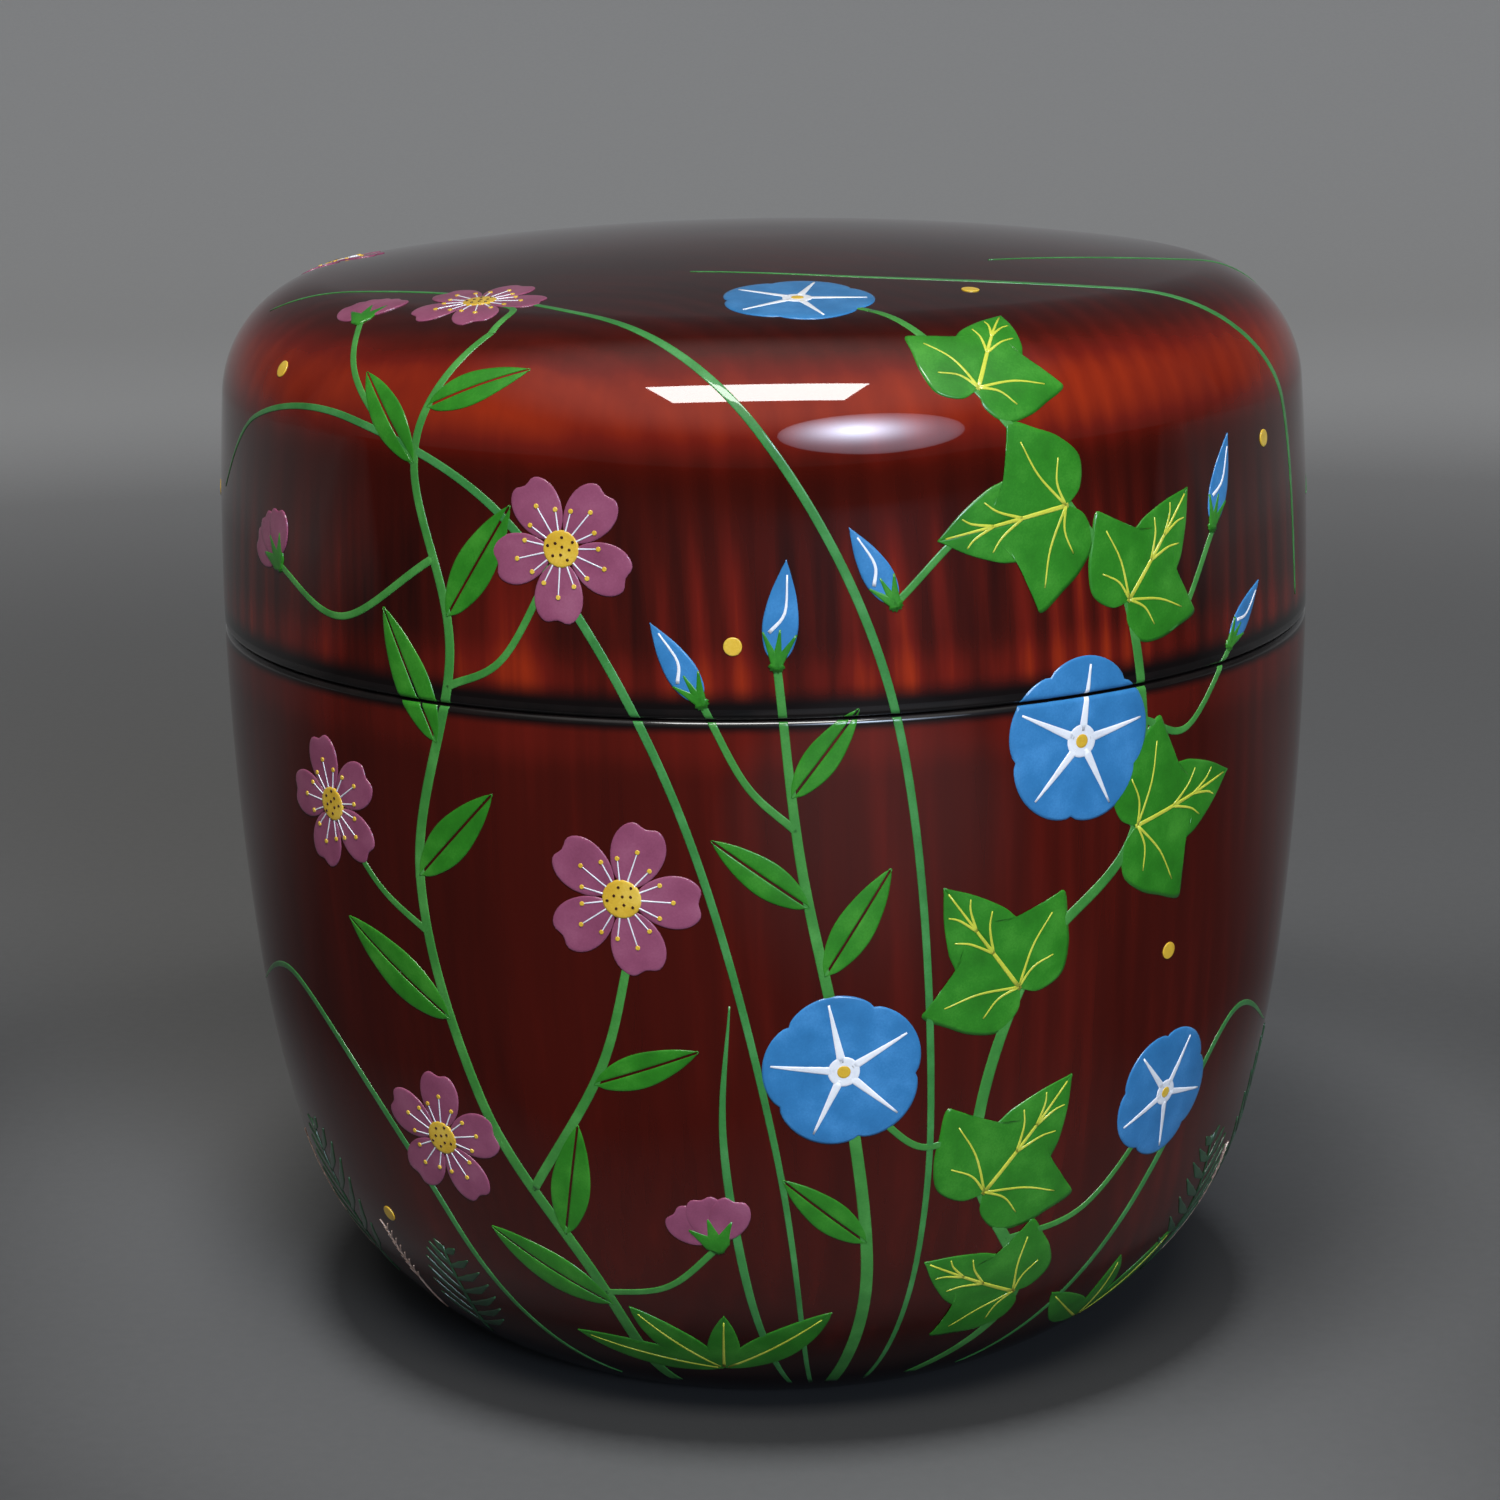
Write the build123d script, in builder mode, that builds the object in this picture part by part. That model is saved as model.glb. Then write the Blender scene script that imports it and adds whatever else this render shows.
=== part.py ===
from build123d import *
import os
from math import asin, atan2, degrees, sqrt

# Lidded tea caddy of turned wood, lacquered see-through red outside and black inside.
# Millimetres, +Z up, with the origin at the middle of the face that it stands on.
# Every section is drawn in the half plane right of the axis: across is radius, up is height.

# Overall sizes. The caddy is widest at the seam between the body and the lid.
girth_radius = 33.0
overall_height = 66.4
seam_height = 43.9
foot_radius = 19.8

# Curves of the outside, from the top down. The side is a shallow barrel that tucks in below.
dome_radius = 178.8
shoulder_radius = 7.3
side_radius = 189.0
tuck_height = 23.2
tuck_radius = 77.0
heel_radius = 19.4

# Lid, with its lining counted in the wall and the crown.
lid_wall = 2.2
crown_thickness = 2.6
lid_corner_radius = 5.0

# Standing rim, which slides into the lid's bore with a running clearance.
# It fills a share of the bore's height, which leaves room over it for the lid's corner.
rim_clearance = 0.1
rim_thickness = 1.3
rim_height_share = 0.7
rim_seat_depth = 6.0
rim_rounding = 0.4

# Body, with its lining counted in the floor.
floor_thickness = 3.2
tea_corner_radius = 16.0
foot_ring_width = 2.5
foot_hollow_depth = 0.6

# Black lacquer: the coat inside, and the bands that close the wood at both mouths.
lining_thickness = 0.3
mouth_band_height = 0.6
mouth_rounding = 0.35
bore_rounding = 0.25

# Radii that the fit of the lid settles.
lid_bore_radius = girth_radius - lid_wall
rim_outer_radius = lid_bore_radius - rim_clearance
tea_radius = rim_outer_radius - rim_thickness
body_wall = girth_radius - tea_radius
foot_inner_radius = foot_radius - foot_ring_width

# Heights of the bands and of the rim's foot.
lid_band_top = seam_height + mouth_band_height
body_band_foot = seam_height - mouth_band_height
rim_foot = seam_height - rim_seat_depth


def crossing(centre_a, reach_a, centre_b, reach_b):
    """Where two circles cross, on the left of the line from the first centre to the second."""
    span = centre_b - centre_a
    ahead = span.normalized()
    along = (reach_a**2 - reach_b**2 + span.length**2) / (2 * span.length)
    aside = sqrt(reach_a**2 - along**2)
    return centre_a + ahead * along + Vector(-ahead.Y, ahead.X) * aside


# The shoulder rolls between the dome and the side, touching both.
side_centre = Vector(girth_radius - side_radius, seam_height)
dome_centre = Vector(0, overall_height - dome_radius)
shoulder_from_side = side_radius - shoulder_radius
shoulder_from_dome = dome_radius - shoulder_radius
shoulder_centre = crossing(side_centre, shoulder_from_side, dome_centre, shoulder_from_dome)
dome_turn = degrees(asin(shoulder_centre.X / shoulder_from_dome))
upper_side_turn = degrees(asin((shoulder_centre.Y - seam_height) / shoulder_from_side))
shoulder_turn = 90 - dome_turn - upper_side_turn

# Below tuck_height the side goes on as a tighter curve, which touches it there.
lower_side_turn = degrees(asin((seam_height - tuck_height) / side_radius))
tuck_direction = Vector(1, 0).rotate(Axis.Z, -lower_side_turn)
tuck_centre = side_centre + tuck_direction * (side_radius - tuck_radius)

# The heel rolls from the tuck to the edge of the foot.
heel_centre = crossing(tuck_centre, tuck_radius - heel_radius, Vector(foot_radius, 0), heel_radius)
heel_span = heel_centre - tuck_centre
heel_start = degrees(atan2(-heel_span.Y, heel_span.X))
tuck_turn = heel_start - lower_side_turn
heel_turn = degrees(asin(heel_centre.Y / heel_radius)) - heel_start

# The tea space ends in a corner that rolls from the tuck's inside to the flat floor.
inner_tuck_radius = tuck_radius - body_wall
corner_from_tuck = inner_tuck_radius - tea_corner_radius
corner_drop = tuck_centre.Y - floor_thickness - tea_corner_radius
corner_start = degrees(asin(corner_drop / corner_from_tuck))

# The lid's hollow ends in a corner that rolls from its bore to the inside of the crown.
inner_crown_radius = dome_radius - crown_thickness
corner_reach = lid_bore_radius - lid_corner_radius
corner_from_dome = inner_crown_radius - lid_corner_radius
crown_turn = degrees(asin(corner_reach / corner_from_dome))
bore_top = dome_centre.Y + sqrt(corner_from_dome**2 - corner_reach**2)
rim_top = seam_height + rim_height_share * (bore_top - seam_height)


def ring_section(inner, outer, low, high, mode=Mode.ADD):
    """Rectangle from the inner to the outer radius, and from the low to the high height."""
    with Locations(((inner + outer) / 2, (low + high) / 2)):
        Rectangle(outer - inner, high - low, mode=mode)


def lid_outside():
    """Half section of the lid as one solid block: dome, shoulder and side, down to the seam."""
    with BuildLine() as outline:
        dome = JernArc((0, overall_height), (1, 0), dome_radius, -dome_turn)
        shoulder = JernArc(dome @ 1, dome % 1, shoulder_radius, -shoulder_turn)
        side = JernArc(shoulder @ 1, shoulder % 1, side_radius, -upper_side_turn)
        seam = Line(side @ 1, (0, seam_height))
        Line(seam @ 1, dome @ 0)
    make_face(outline.edges())


def lid_hollow(growth=0, mode=Mode.SUBTRACT):
    """Half section of the space inside the lid, made larger all round by growth."""
    with BuildLine() as outline:
        top = (0, overall_height - crown_thickness + growth)
        crown = JernArc(top, (1, 0), inner_crown_radius + growth, -crown_turn)
        corner = JernArc(crown @ 1, crown % 1, lid_corner_radius + growth, crown_turn - 90)
        bore = Line(corner @ 1, (lid_bore_radius + growth, seam_height))
        seam = Line(bore @ 1, (0, seam_height))
        Line(seam @ 1, crown @ 0)
    make_face(outline.edges(), mode=mode)


def body_outside():
    """Half section of the body as one solid block: side, tuck and heel, down to the foot."""
    with BuildLine() as outline:
        side = JernArc((girth_radius, seam_height), (0, -1), side_radius, -lower_side_turn)
        tuck = JernArc(side @ 1, side % 1, tuck_radius, -tuck_turn)
        heel = JernArc(tuck @ 1, tuck % 1, heel_radius, -heel_turn)
        base = Line(heel @ 1, (0, 0))
        axis = Line(base @ 1, (0, seam_height))
        Line(axis @ 1, side @ 0)
    make_face(outline.edges())


def tea_space(growth=0, mode=Mode.SUBTRACT):
    """Half section of the space for the tea below the seam, made larger all round by growth."""
    with BuildLine() as outline:
        mouth = (tea_radius + growth, seam_height)
        side = JernArc(mouth, (0, -1), side_radius - body_wall + growth, -lower_side_turn)
        tuck = JernArc(side @ 1, side % 1, inner_tuck_radius + growth, lower_side_turn - corner_start)
        corner = JernArc(tuck @ 1, tuck % 1, tea_corner_radius + growth, corner_start - 90)
        floor = Line(corner @ 1, (0, floor_thickness - growth))
        axis = Line(floor @ 1, (0, seam_height))
        Line(axis @ 1, side @ 0)
    make_face(outline.edges(), mode=mode)


# Body: a cup turned from one block, rebated round its mouth for the standing rim.
# Its underside is turned slightly hollow, so that it stands on a flat ring.
with BuildPart() as body:
    with BuildSketch(Plane.XZ) as body_section:
        body_outside()
        tea_space(lining_thickness)
        ring_section(0, rim_outer_radius, rim_foot, seam_height, mode=Mode.SUBTRACT)
        ring_section(0, girth_radius, body_band_foot, seam_height, mode=Mode.SUBTRACT)
        with BuildLine():
            underside = Line((0, 0), (foot_inner_radius, 0))
            hollow_radius = (foot_inner_radius**2 + foot_hollow_depth**2) / (2 * foot_hollow_depth)
            hollow = RadiusArc((foot_inner_radius, 0), (0, foot_hollow_depth), -hollow_radius)
            Line(hollow @ 1, underside @ 0)
        make_face(mode=Mode.SUBTRACT)
    revolve(axis=Axis.Z)
body.part.label = "body"

# Body lining: the black coat on the floor and the walls, up to the standing rim's foot.
with BuildPart() as body_lining:
    with BuildSketch(Plane.XZ) as body_lining_section:
        tea_space(lining_thickness, mode=Mode.ADD)
        tea_space()
        ring_section(0, girth_radius, rim_foot, seam_height, mode=Mode.SUBTRACT)
    revolve(axis=Axis.Z)
body_lining.part.label = "body_lining"

# Standing rim: a thin ring let into the body's mouth, which stands up inside the lid.
# Its black ledge closes the wood of the mouth, and the lid rests on it.
with BuildPart() as standing_rim:
    with BuildSketch(Plane.XZ) as rim_section:
        body_outside()
        ring_section(0, girth_radius, 0, body_band_foot, mode=Mode.SUBTRACT)
        ring_section(0, rim_outer_radius, body_band_foot, seam_height, mode=Mode.SUBTRACT)
        ring_section(tea_radius, rim_outer_radius, rim_foot, rim_top)
        ledge_edge = rim_section.vertices().sort_by_distance((girth_radius, seam_height))[0]
        fillet(ledge_edge, mouth_rounding)
        inner_edge = rim_section.vertices().sort_by_distance((tea_radius, rim_top))[0]
        fillet(inner_edge, rim_rounding)
        outer_edge = rim_section.vertices().sort_by_distance((rim_outer_radius, rim_top))[0]
        fillet(outer_edge, rim_rounding)
    revolve(axis=Axis.Z)
standing_rim.part.label = "standing_rim"

# Lid: a cap turned from one block, with a straight bore for the standing rim.
with BuildPart() as lid:
    with BuildSketch(Plane.XZ) as lid_section:
        lid_outside()
        lid_hollow(lining_thickness)
        ring_section(0, girth_radius, seam_height, lid_band_top, mode=Mode.SUBTRACT)
    revolve(axis=Axis.Z)
lid.part.label = "lid"

# Lid lining: the black coat inside the lid, which runs on round its mouth as a closed band.
with BuildPart() as lid_lining:
    with BuildSketch(Plane.XZ) as lid_lining_section:
        lid_outside()
        ring_section(0, girth_radius, lid_band_top, overall_height, mode=Mode.SUBTRACT)
        lid_hollow(lining_thickness, mode=Mode.ADD)
        lid_hollow()
        band_edge = lid_lining_section.vertices().sort_by_distance((girth_radius, seam_height))[0]
        fillet(band_edge, mouth_rounding)
        bore_edge = lid_lining_section.vertices().sort_by_distance((lid_bore_radius, seam_height))[0]
        fillet(bore_edge, bore_rounding)
    revolve(axis=Axis.Z)
lid_lining.part.label = "lid_lining"

os.makedirs("parts", exist_ok=True)
export_step(body.part, "parts/body.step")
export_step(body_lining.part, "parts/body_lining.step")
export_step(standing_rim.part, "parts/standing_rim.step")
export_step(lid.part, "parts/lid.step")
export_step(lid_lining.part, "parts/lid_lining.step")
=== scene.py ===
from functools import partial
from math import acos, asin, atan2, cos, degrees, hypot, pi, radians, sin, sqrt, tan

import bmesh
import bpy
import numpy as np
from mathutils import Matrix, Vector


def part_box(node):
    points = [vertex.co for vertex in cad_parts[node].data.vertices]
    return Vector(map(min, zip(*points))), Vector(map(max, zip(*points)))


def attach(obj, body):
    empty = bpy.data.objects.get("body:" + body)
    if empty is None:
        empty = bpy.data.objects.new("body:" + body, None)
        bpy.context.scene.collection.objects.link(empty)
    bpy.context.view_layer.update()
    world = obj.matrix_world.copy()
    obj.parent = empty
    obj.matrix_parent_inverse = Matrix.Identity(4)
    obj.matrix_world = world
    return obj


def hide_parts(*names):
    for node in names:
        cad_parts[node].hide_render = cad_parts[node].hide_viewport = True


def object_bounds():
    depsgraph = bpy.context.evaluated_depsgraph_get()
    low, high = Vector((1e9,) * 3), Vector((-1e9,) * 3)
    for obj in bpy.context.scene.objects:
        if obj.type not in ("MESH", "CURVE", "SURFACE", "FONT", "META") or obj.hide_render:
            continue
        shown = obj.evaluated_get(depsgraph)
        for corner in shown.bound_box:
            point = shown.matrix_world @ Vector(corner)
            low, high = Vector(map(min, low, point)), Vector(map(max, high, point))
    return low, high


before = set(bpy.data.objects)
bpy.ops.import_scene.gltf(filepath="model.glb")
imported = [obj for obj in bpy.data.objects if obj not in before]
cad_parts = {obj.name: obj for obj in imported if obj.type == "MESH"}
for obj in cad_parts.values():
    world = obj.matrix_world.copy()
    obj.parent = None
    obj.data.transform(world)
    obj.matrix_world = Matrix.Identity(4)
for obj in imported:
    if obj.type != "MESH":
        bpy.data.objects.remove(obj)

MM = 0.001
cad_box = [list(corner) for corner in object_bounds()]
scene = bpy.context.scene


# The camera stands in front of the caddy, on the -Y side, and looks down on it a little.
# Its place and its long lens come from a fit to the outline, the seam and the foot.
def add_object(name, data):
    """Adds an object with this camera, mesh or lamp to the scene."""
    item = bpy.data.objects.new(name, data)
    scene.collection.objects.link(item)
    return item


camera_distance = 213.9 * MM
camera_height = 86.9 * MM
camera_pitch = radians(13.84)
camera_yaw = -0.005
camera_roll = -0.0167
camera_data = bpy.data.cameras.new("camera")
camera_data.sensor_width = 36
camera_data.lens = 84.73
camera_data.clip_start = 0.01
camera = add_object("camera", camera_data)
camera_place = Matrix.Translation((0, -camera_distance, camera_height))
swung = Matrix.Rotation(-camera_yaw, 4, "Z")
tipped = Matrix.Rotation(pi / 2 - camera_pitch, 4, "X")
rolled = Matrix.Rotation(camera_roll, 4, "Z")
camera.matrix_world = camera_place @ swung @ tipped @ rolled
scene.camera = camera


# Shape of body and lid: both are turned, so a section carried round the axis makes each of them.
# From the top down the outside is a dome, a tight shoulder, a shallow barrel that is widest at the
# seam, a tighter tuck and a heel, and each curve touches the next. Sizes are in millimetres.
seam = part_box("lid_lining")[0].z / MM
girth_radius = cad_box[1][0] / MM
overall_height = cad_box[1][2] / MM
foot_radius = 19.8
foot_inner_radius = 17.3
foot_hollow_depth = 0.6
dome_radius = 178.8
shoulder_radius = 7.3
side_radius = 189.0
tuck_height = 23.2
tuck_radius = 77.0
heel_radius = 19.4
mouth_band = 0.6
mouth_rounding = 0.35
body_wall = 3.6
floor_thickness = 3.2
tea_corner_radius = 16.0
crown_thickness = 2.6
lid_corner_radius = 5.0
bore_radius = 30.8
lining_thickness = 0.3
rim_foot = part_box("standing_rim")[0].z / MM
rim_outer_radius = 30.7


def crossing(centre_a, reach_a, centre_b, reach_b):
    """Where two circles cross, on the left of the line from the first centre to the second."""
    span = centre_b - centre_a
    distance = hypot(*span)
    along = (reach_a**2 - reach_b**2 + distance**2) / (2 * distance)
    aside = sqrt(reach_a**2 - along**2)
    ahead = span / distance
    return centre_a + ahead * along + np.array([-ahead[1], ahead[0]]) * aside


def arc(centre, radius, start, end, spacing=0.5):
    """Points of an arc between two bearings in radians, about spacing apart."""
    steps = max(8, int(radius * abs(end - start) / spacing))
    bearing = np.linspace(start, end, steps)
    return np.stack([centre[0] + radius * np.cos(bearing), centre[1] + radius * np.sin(bearing)], 1)


def bearing_of(span):
    """Bearing of a vector in the section."""
    return atan2(span[1], span[0])


side_centre = np.array([girth_radius - side_radius, seam])
dome_centre = np.array([0, overall_height - dome_radius])
from_side = side_radius - shoulder_radius
from_dome = dome_radius - shoulder_radius
shoulder_centre = crossing(side_centre, from_side, dome_centre, from_dome)
tuck_bearing = -asin((seam - tuck_height) / side_radius)
tuck_centre = side_centre + (side_radius - tuck_radius) * np.array([cos(tuck_bearing), sin(tuck_bearing)])
foot_edge = np.array([foot_radius, 0])
heel_centre = crossing(tuck_centre, tuck_radius - heel_radius, foot_edge, heel_radius)
heel_bearing = bearing_of(heel_centre - tuck_centre)
side_bearing = bearing_of(shoulder_centre - side_centre)
dome_bearing = bearing_of(shoulder_centre - dome_centre)
outside_arcs = [
    arc(heel_centre, heel_radius, bearing_of(foot_edge - heel_centre), heel_bearing, spacing=0.35),
    arc(tuck_centre, tuck_radius, heel_bearing, tuck_bearing)[1:],
    arc(side_centre, side_radius, tuck_bearing, side_bearing)[1:],
    arc(shoulder_centre, shoulder_radius, side_bearing, dome_bearing, spacing=0.15)[1:],
    arc(dome_centre, dome_radius, dome_bearing, pi / 2)[1:],
]
outside = np.concatenate(outside_arcs)


def outside_between(low, high):
    """The outside's points between two heights, with a point at each."""
    nearest = 0.02
    ends = [[np.interp(height, outside[:, 1], outside[:, 0]), height] for height in (low, high)]
    within = outside[(outside[:, 1] > low + nearest) & (outside[:, 1] < high - nearest)]
    return np.concatenate([ends[:1], within, ends[1:]])


def tea_space(growth):
    """The inside of the body from the standing rim's foot down to the middle of the floor."""
    floor_height = floor_thickness - growth
    corner_radius = tea_corner_radius + growth
    inner_side = side_radius - body_wall + growth
    inner_tuck = tuck_radius - body_wall + growth
    corner_drop = tuck_centre[1] - floor_height - corner_radius
    corner_bearing = -asin(corner_drop / (inner_tuck - corner_radius))
    to_corner = np.array([cos(corner_bearing), sin(corner_bearing)])
    corner_centre = tuck_centre + (inner_tuck - corner_radius) * to_corner
    rim_bearing = -asin((seam - rim_foot) / inner_side)
    parts = [
        arc(side_centre, inner_side, rim_bearing, tuck_bearing, spacing=0.6),
        arc(tuck_centre, inner_tuck, tuck_bearing, corner_bearing, spacing=0.6)[1:],
        arc(corner_centre, corner_radius, corner_bearing, -pi / 2, spacing=0.4)[1:],
        [[0, floor_height]],
    ]
    return np.concatenate(parts)


def lid_hollow(growth):
    """The inside of the lid from the height of the mouth band up to the middle of the crown."""
    bore = bore_radius + growth
    corner_radius = lid_corner_radius + growth
    crown_radius = dome_radius - crown_thickness + growth
    corner_out = bore - corner_radius
    corner_bearing = acos(corner_out / (crown_radius - corner_radius))
    corner_centre = np.array([corner_out, dome_centre[1] + corner_out * tan(corner_bearing)])
    parts = [
        [[bore, seam + mouth_band]],
        arc(corner_centre, corner_radius, 0, corner_bearing, spacing=0.3),
        arc(dome_centre, crown_radius, corner_bearing, pi / 2, spacing=0.6)[1:],
    ]
    return np.concatenate(parts)


def quads_of(number):
    """Quads of a grid of point numbers, each between two rows and two columns."""
    corners = [number[:-1, :-1], number[:-1, 1:], number[1:, 1:], number[1:, :-1]]
    return np.stack(corners, -1).reshape(-1, 4).tolist()


def turned(name, section, node, body, material):
    """Carries a section round the axis: every point goes to (radius sin a, -radius cos a, height).
    A section from axis to axis closes at its poles, any other closes on itself. Returns the mesh."""
    angles = 400
    angle = np.linspace(0, 2 * pi, angles, endpoint=False)[:, None]
    radius, height = section.T
    points = np.stack([radius * np.sin(angle), -radius * np.cos(angle), height + 0 * angle], -1)
    number = np.arange(angles * len(section)).reshape(angles, -1)
    if section[0, 0] > 0:
        number = np.column_stack([number, number[:, 0]])
    number = np.concatenate([number, number[:1]])
    mesh = bpy.data.meshes.new(name)
    mesh.from_pydata((points.reshape(-1, 3) * MM).tolist(), [], quads_of(number.T))
    solid = bmesh.new()
    solid.from_mesh(mesh)
    bmesh.ops.remove_doubles(solid, verts=solid.verts[:], dist=0.0001 * MM)
    bmesh.ops.recalc_face_normals(solid, faces=solid.faces[:])
    solid.to_mesh(mesh)
    solid.free()
    mesh.shade_smooth()
    mesh.set_sharp_from_angle(angle=radians(40))
    mesh.materials.append(material)
    piece = add_object(name, mesh)
    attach(piece, body)
    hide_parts(node)
    return mesh


# Body and lid: each is turned from one block of straight-grained wood, with the fibres upright.
# Thin coats of see-through red lacquer, polished to a mirror, let the grain show: late wood goes
# nearly black under them, early wood glows red, and painted light makes the shoulder a lighter red.
def linear(hex_colour):
    """Linear RGBA of an sRGB hex colour."""
    values = [int(hex_colour[i : i + 2], 16) / 255 for i in (1, 3, 5)]
    return [v / 12.92 if v <= 0.04045 else ((v + 0.055) / 1.055) ** 2.4 for v in values] + [1.0]


def add_node(tree, kind, sockets=(), stops=(), **properties):
    """Adds a node and sets its properties. Its sockets, by name or as a list from the first one on,
    get a value, an output, or a node whose first output it is, and a colour ramp gets its stops."""
    node = tree.nodes.new("ShaderNode" + kind)
    for key, value in properties.items():
        setattr(node, key, value)
    for key, value in sockets.items() if isinstance(sockets, dict) else enumerate(sockets):
        if isinstance(value, bpy.types.Node):
            value = value.outputs[0]
        if isinstance(value, bpy.types.NodeSocket):
            tree.links.new(value, node.inputs[key])
        else:
            node.inputs[key].default_value = value
    if stops:
        elements = node.color_ramp.elements
        while len(elements) < len(stops):
            elements.new(1.0)
        for element, (place, colour) in zip(elements, stops):
            element.position = place
            element.color = linear(colour)
    return node


def new_material(name):
    """An empty node material, the call that adds its nodes, and the place in millimetres."""
    material = bpy.data.materials.new(name)
    material.use_nodes = True
    material.node_tree.nodes.clear()
    add = partial(add_node, material.node_tree)
    place = add("TexCoord").outputs["Object"]
    return material, add, add("Mapping", {"Vector": place, "Scale": (1 / MM,) * 3})


# Heights over which each of these comes in or fades out. The last four count from the seam.
# The first two place painted light on the shoulder and painted shade on the dome, the fourth
# painted shade on the heel.
painted_light_on_shoulder = (55.5, 60.5)
painted_shade_on_dome = (60.5, 64.8)
grain_fades = (50.5, 57.0)
painted_heel_shade = (1.0, 10.5)
lid_mouth = (0.75, 2.0)
body_mouth = (0.3, 0.9)
lid_lip = (4.4, 2.2)
body_lip = (3.6, 1.4)


def red_lacquered_wood():
    """Grain is drawn in solid wood: ring number = distance from the tree's heart over the ring
    width, bent by slow noise. Its fraction rises slowly to dark late wood and drops sharply.
    Lightness = plain level + liveliness x (rings + fibres + clouds) + painted light on the shoulder
    and a lighter band at the lips."""
    ring_width = 1.9
    ring_bend = 8.0
    heart_place = (38.0, 64.0, 0.0)
    heart_lean = (radians(-3.5), radians(2.0), 0.0)
    # Gains of the shoulder's painted light and of the lighter lips.
    painted_light_gain, lid_lip_gain, body_lip_gain = 0.4, 0.15, 0.1

    # How light the wood is, and how strong its rings and its stain, on the body and on the lid.
    plain_levels = (0.32, 0.24)
    ring_shares = (0.06, 0.27)
    stain_shares = (0.4, 1.0)
    soft = {"interpolation_type": "SMOOTHSTEP"}
    softest = {"interpolation_type": "SMOOTHERSTEP"}
    material, add, in_mm = new_material("red_lacquer_on_upright_grain_wood")
    height = add("SeparateXYZ", [in_mm]).outputs["Z"]

    # Rings, bent slowly along the trunk.
    slow = add("Mapping", {"Vector": in_mm, "Scale": (1, 1, 0.12)})
    bend = add("TexNoise", {"Vector": slow, "Scale": 0.05, "Detail": 1.0})
    leant = add("Mapping", {"Vector": in_mm, "Location": heart_place, "Rotation": heart_lean})
    across = add("VectorMath", [leant, (1, 1, 0)], operation="MULTIPLY")
    reach = add("VectorMath", [across], operation="LENGTH").outputs["Value"]
    bent = add("Math", [bend, ring_bend, reach], operation="MULTIPLY_ADD")
    counted = add("Math", [bent, ring_width], operation="DIVIDE")
    ring = add("Math", [counted], operation="FRACT")
    stops = [(0.0, "#b0b0b0"), (0.3, "#ffffff"), (0.62, "#707070"), (0.86, "#101010"), (1.0, "#a0a0a0")]
    early = add("ValToRGB", [ring], stops)

    # Fibres: short upright streaks. Stain soaks in unevenly, in clouds drawn out along the grain.
    fibre = add("Mapping", {"Vector": in_mm, "Scale": (1, 1, 0.035)})
    streak = add("TexNoise", {"Vector": fibre, "Scale": 1.5, "Detail": 3.0})
    drift = add("Mapping", {"Vector": slow, "Location": (-13, 0, 0)})
    cloud = add("TexNoise", {"Vector": drift, "Scale": 0.13, "Detail": 2.0})
    fibres = add("MapRange", [streak, 0, 1, -0.16, 0.16], clamp=False)
    clouds = add("MapRange", [cloud, 0.35, 0.65, -0.1, 0.1])
    soaked = add("Math", [fibres, clouds], operation="ADD")

    # The grain stands out on the lid and where the stain is thin, and is quiet on the body.
    # It fades on the shoulder and the dome, where the cut runs across the fibres.
    plain, ring_share, stain_share = (
        add("MapRange", [height, seam - 1, seam + 1, *body_and_lid], **soft)
        for body_and_lid in (plain_levels, ring_shares, stain_shares)
    )
    clearness = add("MapRange", [cloud, 0.35, 0.65, 0.35, 1.0])
    contrast = add("Math", [ring_share, clearness], operation="MULTIPLY")
    rings = add("Math", [early, contrast], operation="MULTIPLY")
    grain = add("Math", [soaked, stain_share, rings], operation="MULTIPLY_ADD")
    liveliness = add("MapRange", [height, *grain_fades, 1.0, 0.25], **soft)
    cloudy = add("Math", [grain, liveliness, plain], operation="MULTIPLY_ADD")

    # The shoulder is painted lighter as painted light, and the dome above it darker again as painted
    # shade.
    rises = add("MapRange", [height, *painted_light_on_shoulder], **softest)
    falls = add("MapRange", [height, *painted_shade_on_dome, 1.0, -0.15], **softest)
    painted_shoulder_light = add("Math", [rises, falls], operation="MULTIPLY")
    light = add("Math", [painted_shoulder_light, painted_light_gain, cloudy], operation="MULTIPLY_ADD")

    # The wood is also lighter near the lips of both mouths, more faintly, on each side of the black.
    lips = ((1, lid_lip, lid_lip_gain, "GREATER_THAN"), (-1, body_lip, body_lip_gain, "LESS_THAN"))
    for side, (far, near), gain, test in lips:
        lip = add("MapRange", [height, seam + side * far, seam + side * near, 0, gain], **soft)
        own_side = add("Math", [height, seam], operation=test)
        light = add("Math", [lip, own_side, light], operation="MULTIPLY_ADD")
    stops = [(0.15, "#1f0503"), (0.36, "#3f0b05"), (0.55, "#5e130a"), (0.78, "#88260c"), (1.0, "#a83d14")]
    wood = add("ValToRGB", [light], stops)

    # Black lacquer from the mouths runs a little way over the wood, and painted shade darkens the heel to
    # black.
    clear = [
        add("MapRange", [height, seam + side * black_to, seam + side * clear_from], **soft)
        for side, (black_to, clear_from) in ((1, lid_mouth), (-1, body_mouth))
    ]
    mouth = add("Math", clear, operation="ADD")
    heel_shade = add("MapRange", [height, *painted_heel_shade, 0.08], **soft)
    shown = add("Math", [mouth, heel_shade], operation="MULTIPLY")
    shaded = add("Mix", {0: shown, 6: linear("#0a0505"), 7: wood}, data_type="RGBA")

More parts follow.
